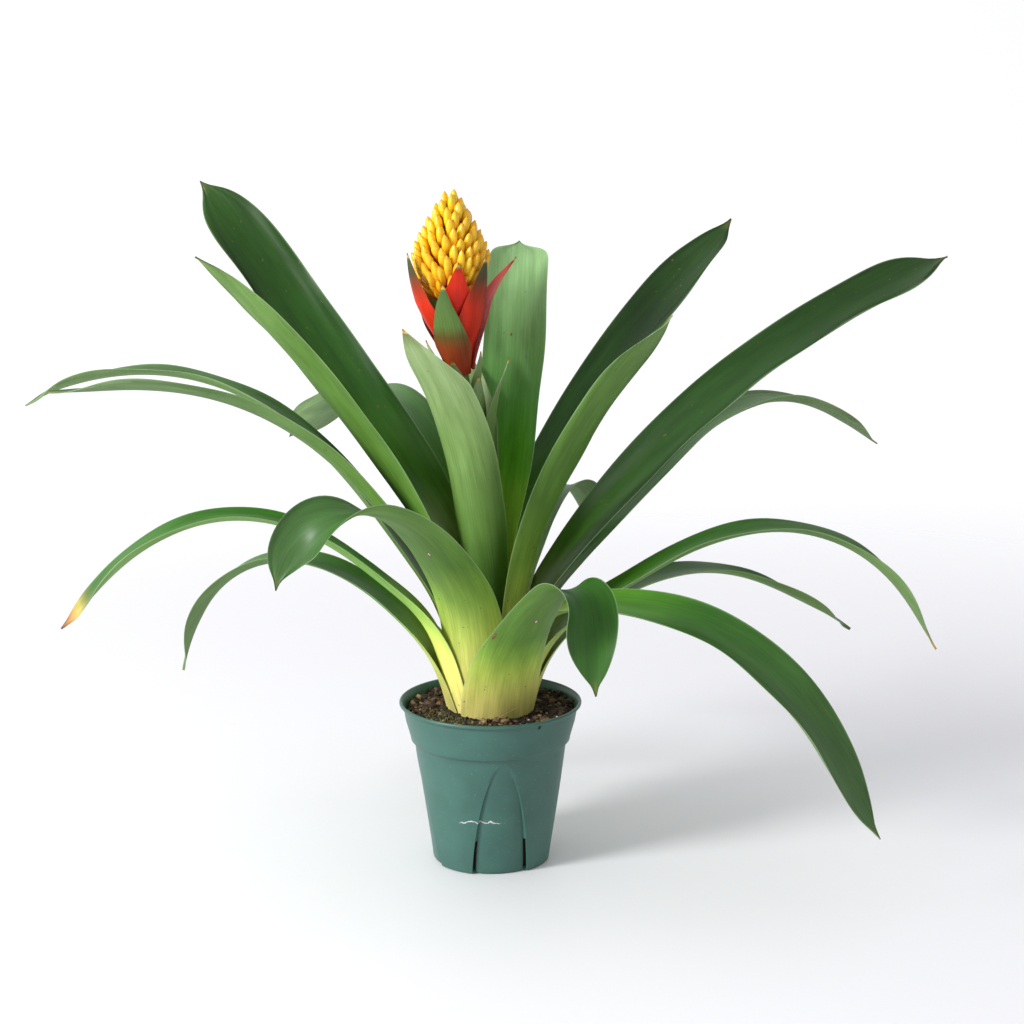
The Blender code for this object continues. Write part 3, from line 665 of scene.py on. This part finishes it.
def flower():
    petals = petal_wax()
    heights = np.linspace(ENVELOPE[0, 0], ENVELOPE[-1, 0], 200)
    radii = np.interp(heights, ENVELOPE[:, 0], ENVELOPE[:, 1])
    share = np.cumsum(radii + 0.006)
    share /= share[-1]
    points, faces, part, tone, grain = [], [], [], [], []
    for i in range(FLORETS):
        at = (i + 0.5) / FLORETS
        z = np.interp(at, share, heights) + random.uniform(-1, 1) * MM
        r = np.interp(z, ENVELOPE[:, 0], ENVELOPE[:, 1])
        angle = radians(137.508) * i + random.uniform(-0.08, 0.08)
        up = (z - HEAD_BOTTOM) / (HEAD_TOP - HEAD_BOTTOM)
        lean = np.interp(up, [0.0, 0.15, 0.35, 0.6, 0.8, 1.0], [12, 34, 58, 70, 78, 88])
        lean = radians(lean + random.uniform(-7, 7))
        twist = random.uniform(-0.12, 0.12)
        direction = np.array([
            cos(lean) * cos(angle + twist), cos(lean) * sin(angle + twist), sin(lean)
        ])
        length = np.interp(up, [0, 0.3, 0.6, 1.0], [0.015, 0.022, 0.020, 0.015])
        length *= random.uniform(0.9, 1.08)
        thick = np.interp(up, [0, 0.4, 0.8, 1.0], [0.0027, 0.0034, 0.0036, 0.0032])
        tip = np.array([stem_middle(z) + r * cos(angle), r * sin(angle), z])
        bud, place = floret(tip, direction, length, thick, random.uniform(0, 6))
        faces += floret_faces(len(points))
        points += bud
        part += place
        tone += [np.clip(up * 1.3 - 0.1 + random.uniform(-0.15, 0.15), 0, 1)] * len(bud)
        grain += [(0.4 * j * MM, p * length, i) for j, p in enumerate(place)]
    florets = new_piece("florets", points, faces, petals, {"part": part, "tone": tone, "grain": grain})
    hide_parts("flower_head")

    rows, columns = 22, 28
    t = np.linspace(0, 1, rows)
    z = HEAD_BOTTOM - 0.002 + (0.545 - HEAD_BOTTOM) * t
    r = 0.0200 * np.minimum(t / 0.18, 1) ** 0.5 * (1 - np.maximum(t - 0.35, 0) / 0.65) ** 0.75
    core, sides = [(stem_middle(z[0]), 0, z[0])], []
    for i in range(1, rows - 1):
        for j in range(columns):
            angle = 2 * pi * (j + 0.5 * (i % 2)) / columns
            out = r[i] * (1 + 0.08 * cos(7 * angle + i))
            core.append((stem_middle(z[i]) + out * cos(angle), out * sin(angle), z[i]))
    core.append((stem_middle(z[-1]), 0, z[-1]))
    sides += [(0, 1 + (j + 1) % columns, 1 + j) for j in range(columns)]
    for i in range(rows - 3):
        for j in range(columns):
            a, b = 1 + i * columns + j, 1 + i * columns + (j + 1) % columns
            sides.append((a, b, b + columns, a + columns))
    last = 1 + (rows - 3) * columns
    sides += [(last + j, last + (j + 1) % columns, len(core) - 1) for j in range(columns)]
    flesh = stem_flesh("red_flower_spike", "#5a140c", "#a8301c", 0.5)
    spike = new_piece("flower_spike", core, sides, flesh)
    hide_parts("flower_head")


# ---------------------------------------------------------------- pot
def pot_wall_radius(z):
    return BASE_RADIUS + (SHOULDER_RADIUS - BASE_RADIUS) * z / SHOULDER_HEIGHT


def arch_half_angle(z):
    """Half-width of an arch recess, in radians: an arch that closes at its top."""
    t = np.clip(z / RECESS_TOP, 0, 1)
    return radians(RECESS_HALF_ANGLE) * (1 - t**1.3) ** 0.6 + radians(0.8)


def nursery_pot():
    """One thin wall, walked round from the underside over the rim to the floor's inside."""
    panel, plain = 9, 26
    slot_top = 0.030
    wall_rows = np.concatenate([
        [0.0016, 0.003, 0.006], np.linspace(0.009, slot_top, 9), np.linspace(0.034, RECESS_TOP, 18)
    ])
    band = [
        (SHOULDER_RADIUS - 0.0002, SHOULDER_HEIGHT - 0.0006), (SHOULDER_RADIUS + 0.0006, SHOULDER_HEIGHT),
        (SHOULDER_RADIUS + 0.0022, SHOULDER_HEIGHT + 0.0002),
        (SHOULDER_RADIUS + 0.0029, SHOULDER_HEIGHT + 0.0010),
        (SHOULDER_RADIUS + 0.0034, SHOULDER_HEIGHT + 0.004), (0.0707, 0.120), (0.0725, POT_HEIGHT - 0.0060),
        (0.0727, POT_HEIGHT - 0.0042), (0.0738, POT_HEIGHT - 0.0034), (0.0752, POT_HEIGHT - 0.0030),
        (0.0759, POT_HEIGHT - 0.0022), (RIM_RADIUS, POT_HEIGHT - 0.0013), (0.0757, POT_HEIGHT - 0.0005),
        (0.0750, POT_HEIGHT),
    ]
    inner = [
        (0.0740, POT_HEIGHT - 0.0002), (0.0730, POT_HEIGHT - 0.0012), (0.0716, POT_HEIGHT - 0.005),
        (0.0700, 0.122), (SHOULDER_RADIUS + 0.0008, SHOULDER_HEIGHT + 0.0028),
        (SHOULDER_RADIUS - WALL, SHOULDER_HEIGHT),
    ]
    outside = [(BASE_RADIUS - 0.0022, 0.0), (BASE_RADIUS - 0.0008, 0.0003), (BASE_RADIUS - 0.0001, 0.0009)]
    outside += [(None, z) for z in wall_rows] + band
    inside = inner + [(None, z) for z in wall_rows[::-1]] + [(BASE_RADIUS - WALL - 0.002, FLOOR)]
    points, rows = [], []
    for side, profile in ((0, outside), (1, inside)):
        for radius, z in profile:
            low = min(z, RECESS_TOP)
            edge = arch_half_angle(low)
            slot = SLOT_WIDTH / pot_wall_radius(low) * (1 - 0.7 * np.clip(low / RECESS_TOP, 0, 1))
            half = pi / RECESS_COUNT
            fade = np.clip(1.2 * (1 - z / RECESS_TOP), 0, 1) ** 0.7
            base = pot_wall_radius(z) - side * WALL if radius is None else radius
            rows.append(len(points))
            for k in range(RECESS_COUNT):
                middle = radians(RECESS_FIRST_ANGLE) + 2 * half * k
                for j, a in enumerate(np.linspace(-edge, edge, panel)):
                    groove = 1.2 * MM if j in (0, panel - 1) else 0
                    r = base - (RECESS_DEPTH + groove) * fade
                    points.append((r * cos(middle + a), r * sin(middle + a), z))
                for a in np.linspace(edge + slot, 2 * half - edge - slot, plain):
                    points.append((base * cos(middle + a), base * sin(middle + a), z))
    per = panel + plain
    columns = RECESS_COUNT * per
    slots = {c for k in range(RECESS_COUNT) for c in (k * per + panel - 1, (k * per - 1) % columns)}
    first_wall = 3
    open_rows = int(np.sum(wall_rows <= slot_top)) - 1
    out_open = set(range(first_wall, first_wall + open_rows))
    last = len(rows) - 2
    in_open = {last - 1 - k for k in range(open_rows)}
    faces = []
    for k in range(len(rows) - 1):
        for c in range(columns):
            if c in slots and (k in out_open or k in in_open):
                continue
            d = (c + 1) % columns
            faces.append((rows[k] + c, rows[k] + d, rows[k + 1] + d, rows[k + 1] + c))
    for c in slots:
        d = (c + 1) % columns
        for k in range(open_rows):
            o, i = rows[first_wall + k], rows[last - k]
            o2, i2 = rows[first_wall + k + 1], rows[last - k - 1]
            faces.append((o + c, i + c, i2 + c, o2 + c)[::-1])
            faces.append((o + d, i + d, i2 + d, o2 + d))
        o, i = rows[first_wall], rows[last]
        faces.append((o + c, o + d, i + d, i + c))
        o, i = rows[first_wall + open_rows], rows[last - open_rows]
        faces.append((o + c, o + d, i + d, i + c)[::-1])
    under, over = len(points), len(points) + 1
    points += [(0, 0, 0), (0, 0, FLOOR)]
    for c in range(columns):
        d = (c + 1) % columns
        faces.append((rows[0] + d, rows[0] + c, under))
        faces.append((rows[-1] + c, rows[-1] + d, over))
    pot = new_piece("moulded_pot", points, faces, pot_plastic())
    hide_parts("nursery_pot")


# ---------------------------------------------------------------- potting mix
BARK = [
    (0.00, "#1c150e"), (0.30, "#332519"), (0.55, "#513b28"), (0.75, "#6e5136"),
    (0.90, "#93744e"), (1.00, "#bfa67c"),
]


def mix_height(x, y):
    """Height of the mix's surface: loose, a little higher round the crown."""
    r = np.hypot(x, y)
    a = np.arctan2(y, x)
    lumps = 0.8 * np.sin(5 * a + 60 * r) + 0.6 * np.sin(9 * a - 140 * r) + 0.5 * np.sin(17 * a + 260 * r)
    return MIX_TOP + 1.0 * MM + 0.6 * MM * lumps + 2.2 * MM * ramp(-r, -0.041, 0.012)


def lump_points(size, spin, flat, seed):
    """A broken crumb: an icosahedron with each corner pushed in or out."""
    g = (1 + 5**0.5) / 2
    corners = np.array([
        (-1, g, 0), (1, g, 0), (-1, -g, 0), (1, -g, 0), (0, -1, g), (0, 1, g),
        (0, -1, -g), (0, 1, -g), (g, 0, -1), (g, 0, 1), (-g, 0, -1), (-g, 0, 1),
    ]) / 1.9
    corners = corners * seed.uniform(0.65, 1.25, (12, 1)) * [1.0, flat[0], flat[1]] * size
    a, b = spin
    turn = np.array([[cos(a), -sin(a), 0], [sin(a), cos(a), 0], [0, 0, 1]])
    tip = np.array([[1, 0, 0], [0, cos(b), -sin(b)], [0, sin(b), cos(b)]])
    return corners @ tip.T @ turn.T


LUMP_FACES = [
    (0, 11, 5), (0, 5, 1), (0, 1, 7), (0, 7, 10), (0, 10, 11), (1, 5, 9), (5, 11, 4), (11, 10, 2), (10, 7, 6),
    (7, 1, 8), (3, 9, 4), (3, 4, 2), (3, 2, 6), (3, 6, 8), (3, 8, 9), (4, 9, 5), (2, 4, 11), (6, 2, 10),
    (8, 6, 7), (9, 8, 1),
]


def scatter(name, count, sizes, flat, tones, mat, places=None, lift=0.2):
    """Loose crumbs lying on the mix, each its own size, turn and shade."""
    points, faces, tone = [], [], []
    for i in range(count):
        if places is None:
            r = np.sqrt(random.uniform(0.039**2, 0.0695**2))
            a = random.uniform(0, 2 * pi)
        else:
            r, a = places(i)
        size = sizes[0] + (sizes[1] - sizes[0]) * random.uniform() ** 2.2
        x, y = r * cos(a), r * sin(a)
        middle = np.array([x, y, mix_height(x, y) + lift * size])
        spin = random.uniform(0, 2 * pi), random.uniform(-0.7, 0.7)
        shape = (random.uniform(*flat), random.uniform(0.35, 0.8))
        first = len(points)
        points += list(lump_points(size, spin, shape, random) + middle)
        faces += [tuple(first + k for k in f) for f in LUMP_FACES]
        tone += [np.clip(random.uniform(*tones), 0, 1)] * 12
    piece = new_piece(name, points, faces, mat, {"tone": tone}, smooth=False)
    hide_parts("potting_mix")
    return piece


def tube(path, thick, sides=5):
    """Points and faces of a thin tube along a path, thinning to its ends."""
    path = np.asarray(path, float)
    along = np.gradient(path, axis=0)
    along /= np.linalg.norm(along, axis=1)[:, None]
    side = np.cross(along, [0.21, 0.13, 0.97])
    side /= np.linalg.norm(side, axis=1)[:, None]
    other = np.cross(along, side)
    n = len(path)
    t = np.linspace(0, 1, n)
    width = thick * (0.35 + 0.65 * np.sin(pi * np.clip(t, 0.02, 0.98)) ** 0.5)
    angle = 2 * pi * np.arange(sides) / sides
    ring = np.cos(angle)[None, :, None] * side[:, None] + np.sin(angle)[None, :, None] * other[:, None]
    points = (path[:, None] + width[:, None, None] * ring).reshape(-1, 3)
    faces = [
        (i * sides + j, i * sides + (j + 1) % sides, (i + 1) * sides + (j + 1) % sides, (i + 1) * sides + j)
        for i in range(n - 1) for j in range(sides)
    ]
    faces += [tuple(range(sides))[::-1], tuple((n - 1) * sides + j for j in range(sides))]
    return points, faces


def strands(name, paths, thick, mat, tones):
    points, faces, tone = [], [], []
    for path, shade in zip(paths, tones):
        p, f = tube(path, thick)
        faces += [tuple(len(points) + k for k in face) for face in f]
        points += list(p)
        tone += [shade] * len(p)
    piece = new_piece(name, points, faces, mat, {"tone": tone})
    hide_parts("potting_mix")


def potting_mix():
    rings = np.concatenate([np.linspace(0.030, 0.0690, 34), [0.0700]])
    columns = 150
    points, faces = [], []
    angle = 2 * pi * np.arange(columns) / columns
    for r in rings:
        x, y = r * np.cos(angle), r * np.sin(angle)
        z = mix_height(x, y) - (1.2 * MM if r > 0.0695 else 0)
        z = z + 0.5 * MM * random.uniform(-1, 1, columns)
        points += list(zip(x, y, z))
    lower = [(0.0684, 0.118), (SHOULDER_RADIUS - WALL - 0.0008, SHOULDER_HEIGHT), (0.0460, FLOOR + 0.0006)]
    for r, z in lower:
        points += [(r * cos(a), r * sin(a), z) for a in angle]
    count = len(rings) + len(lower)
    for i in range(count - 1):
        for j in range(columns):
            k = (j + 1) % columns
            faces.append((i * columns + j, (i + 1) * columns + j, (i + 1) * columns + k, i * columns + k))
    faces.append(tuple(j for j in range(columns)))
    faces.append(tuple((count - 1) * columns + j for j in range(columns))[::-1])
    peat = crumbs("damp_peat", BARK, 0.92, 0.0016)
    tone = np.clip(random.normal(0.12, 0.12, len(points)), 0, 1)
    body = new_piece("mix_body", points, faces, peat, {"tone": tone})
    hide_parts("potting_mix")

    bark = crumbs("composted_bark", BARK, 0.85, 0.0012)
    scatter("fine_crumbs", 1500, (0.5 * MM, 1.6 * MM), (0.5, 1.0), (0.0, 0.75), bark, lift=0.5)
    scatter("bark_chips", 420, (1.8 * MM, 5.4 * MM), (0.4, 0.9), (0.1, 1.0), bark)
    scatter(
        "rim_crumbs", 70, (0.8 * MM, 2.2 * MM), (0.5, 1.0), (0.0, 0.4), bark,
        lambda i: (random.uniform(0.064, 0.0685), radians(random.uniform(-40, 60))), lift=1.0,
    )
    grit = crumbs("pale_grit", [(0.0, "#a98a5c"), (0.5, "#cbb384"), (1.0, "#e8e2d2")], 0.6, 0.002)
    scatter(
        "grit_grains", 46, (0.9 * MM, 2.0 * MM), (0.8, 1.0), (0.0, 1.0), grit,
        lambda i: (random.uniform(0.044, 0.067), random.uniform(0, 2 * pi)), lift=0.7,
    )

    moss = crumbs("dry_moss", [(0.0, "#39421f"), (0.5, "#5f6a37"), (1.0, "#a8a878")], 0.8, 0.001)
    paths, tones = [], []
    for _ in range(420):
        a = radians(random.normal(232, 17))
        r = random.uniform(0.041, 0.066)
        x, y = r * cos(a), r * sin(a)
        out = random.uniform(-1, 1, 2) * 1.6 * MM
        z = mix_height(x, y)
        rise = random.uniform(0.8, 2.6) * MM
        half_way = x + out[0] * 0.5, y + out[1] * 0.5, z + rise
        paths.append([(x, y, z), half_way, (x + out[0], y + out[1], z + rise * 1.2)])
        tones.append(random.uniform(0, 1))
    strands("moss_tufts", paths, 0.28 * MM, moss, tones)

    fibre = crumbs("coir_fibre", [(0.0, "#4a2f1c"), (0.5, "#8a5f3c"), (1.0, "#c9a078")], 0.7, 0.002)
    paths, tones = [], []
    for _ in range(90):
        a, r = random.uniform(0, 2 * pi), random.uniform(0.042, 0.066)
        heading, bend = random.uniform(0, 2 * pi), random.uniform(-1.5, 1.5)
        step = random.uniform(0.5, 1.6) * MM
        x, y = r * cos(a), r * sin(a)
        path = []
        for k in range(8):
            if 0.0405 < np.hypot(x, y) < 0.0690:
                path.append((x, y, mix_height(x, y) + 0.9 * MM + 0.5 * MM * sin(k)))
            heading += bend / 8
            x, y = x + step * cos(heading), y + step * sin(heading)
        if len(path) > 4:
            paths.append(path)
            tones.append(random.uniform(0, 1))
    t = np.linspace(0, 1, 8)[:, None]
    straw = np.array([0.003, -0.0440, 0.1300]) * (1 - t) + np.array([0.0225, -0.0395, 0.1410]) * t
    straw[:, 2] += 0.7 * MM * np.sin(pi * t[:, 0])
    paths.append(straw)
    tones.append(1.0)
    strands("coir_fibres", paths, 0.25 * MM, fibre, tones)


# ---------------------------------------------------------------- scars on the leaves
def scar(name, grid, along, across, long, wide, mat, outward, height=0.22 * MM):
    """A healed wound: a low lens lying on one face of a leaf, its long axis along the veins."""
    rows, columns = grid.shape[:2]
    i = int(round(along * (rows - 1)))
    j = int(round((across + 1) / 2 * (columns - 1)))
    j = min(max(j, 1), columns - 2)
    v = grid[i + 1, j] - grid[i - 1, j]
    u = grid[i, j + 1] - grid[i, j - 1]
    v, u = v / np.linalg.norm(v), u / np.linalg.norm(u)
    n = np.cross(u, v) * outward
    sides = 20
    points = [grid[i, j] + n * height]
    for ring, rise in ((0.7, 0.6), (1.0, -0.4)):
        for k in range(sides):
            a = 2 * pi * k / sides
            ragged = ring * random.uniform(0.82, 1.12)
            points.append(
                grid[i, j] + ragged * (long * cos(a) * v + wide * sin(a) * u) / 2 + n * height * rise
            )
    points.append(grid[i, j] - n * height)
    faces = [(0, 1 + k, 1 + (k + 1) % sides) for k in range(sides)]
    for k in range(sides):
        m = (k + 1) % sides
        faces.append((1 + k, 1 + sides + k, 1 + sides + m, 1 + m))
        faces.append((len(points) - 1, 1 + sides + m, 1 + sides + k))
    piece = new_piece(name, points, faces, mat, {"tone": random.uniform(0, 1, len(points))})
    return piece


def leaf_scars(grids):
    """Two healed holes with pale middles, torn brown bits of margin, and small rusty specks."""
    rust = crumbs("rusty_scar_tissue", [(0.0, "#6d4320"), (0.5, "#8f6030"), (1.0, "#a97c46")], 0.8, 0.001)
    cork = crumbs("pale_scar_cork", [(0.0, "#ded6c2"), (1.0, "#f2ede0")], 0.7, 0.001)
    for key, along, across in (("07_front_left", 0.47, -0.125), ("01_front", 0.446, 0.0)):
        scar("scar_rim_" + key, grids[key][1], along, across, 6.0 * MM, 3.4 * MM, rust, -1)
        scar("scar_" + key, grids[key][1], along, across, 4.2 * MM, 2.0 * MM, cork, -1, 0.34 * MM)
    torn = (
        ("01_front", 0.337, -0.93, 7.0, 2.4), ("01_front", 0.355, -0.97, 5.0, 1.8),
        ("05_left", 0.175, -0.97, 6.0, 1.8), ("05_left", 0.155, -0.97, 4.0, 1.4),
    )
    for number, (key, along, across, long, wide) in enumerate(torn):
        name = f"torn_margin_{number}_{key}"
        scar(name, grids[key][1], along, across, long * MM, wide * MM, rust, -1, 0.4 * MM)
    scar("rusty_spot_21_tall_back", grids["21_tall_back"][0], 0.699, 0.125, 3.2 * MM, 1.6 * MM, rust, 1)
    for number in range(26):
        key = ("01_front", "07_front_left", "05_left", "09_front_right")[number % 4]
        along, across = random.uniform(0.10, 0.5), random.uniform(-0.8, 0.8)
        size = random.uniform(0.5, 1.1) * MM
        scar(f"speck_{number}_{key}", grids[key][1], along, across, size, size, rust, -1, 0.12 * MM)


# ---------------------------------------------------------------- floor, light and camera
def scene_setting():
    mat, tree, shader = new_material("matt_white_laminate", Roughness=0.6)
    shader.inputs["Base Color"].default_value = linear("#e9e9eb")
    at = add_node(tree, "TexCoord").outputs["Object"]
    away = add_node(tree, "VectorMath", {0: at}, operation="LENGTH").outputs["Value"]
    fade = add_node(
        tree, "MapRange", {"Value": away, "From Min": 0.5, "From Max": 1.9},
        interpolation_type="SMOOTHSTEP",
    ).outputs[0]
    clear = add_node(tree, "BsdfTransparent").outputs[0]
    mixed = add_node(tree, "MixShader", {0: fade, 1: shader.outputs[0], 2: clear}).outputs[0]
    tree.links.new(mixed, tree.nodes["Material Output"].inputs["Surface"])
    mesh = bpy.data.meshes.new("floor")
    mesh.from_pydata([(-4, -4, 0), (4, -4, 0), (4, 4, 0), (-4, 4, 0)], [], [(0, 1, 2, 3)])
    mesh.materials.append(mat)
    floor = bpy.data.objects.new("floor", mesh)
    floor.location.z = -0.0002
    bpy.context.scene.collection.objects.link(floor)

    world = bpy.data.worlds.new("pale_room")
    bpy.context.scene.world = world
    world.use_nodes = True
    tree = world.node_tree
    way = add_node(tree, "TexCoord").outputs["Generated"]
    toward = add_node(
        tree, "VectorMath", {0: way, 1: (-0.30, 0.22, -0.16)}, operation="DOT_PRODUCT"
    ).outputs["Value"]
    strength = add_node(
        tree, "MapRange",
        {"Value": toward, "From Min": -0.5, "From Max": 0.5, "To Min": 0.56, "To Max": 1.32},
    ).outputs[0]
    background = tree.nodes["Background"]
    background.inputs["Color"].default_value = linear("#f9f9fc")
    tree.links.new(strength, background.inputs["Strength"])

    def area_light(name, place, aim, size, power):
        data = bpy.data.lights.new(name, "AREA")
        data.shape, data.size, data.energy = "DISK", size, power
        lamp = bpy.data.objects.new(name, data)
        bpy.context.scene.collection.objects.link(lamp)
        lamp.location = place
        way = lamp.location - type(lamp.location)(aim)
        lamp.rotation_euler = way.to_track_quat("Z", "Y").to_euler()

    area_light("window", (-2.0, -1.25, 1.35), (0, 0, 0.3), 0.8, 69)

    camera_data = bpy.data.cameras.new("camera")
    camera_data.lens = 75
    camera_data.sensor_width = 36
    camera = bpy.data.objects.new("camera", camera_data)
    camera.location = (0.018, -1.711, 0.653)
    camera.rotation_euler = (radians(90 - 11.8), 0, 0)
    bpy.context.scene.collection.objects.link(camera)
    bpy.context.scene.camera = camera
    bpy.context.scene.view_settings.view_transform = "Standard"


def main():
    scene_setting()
    grids = {key: leaf(key, shape, number) for number, (key, shape) in enumerate(LEAVES.items())}
    leaf_scars(grids)
    for number, (key, shape) in enumerate(BRACTS.items()):
        bract(key, shape, number)
    flower()
    nursery_pot()
    potting_mix()
    for node, skin in (
        ("crown_stem", stem_flesh("crown_flesh", "#cfc07c", "#e2d69a", 0.6)),
        ("flower_stem", stem_flesh("flower_stem_skin", "#8da65a", "#a9be78", 0.5)),
    ):
        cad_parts[node].material_slots[0].material = skin


main()
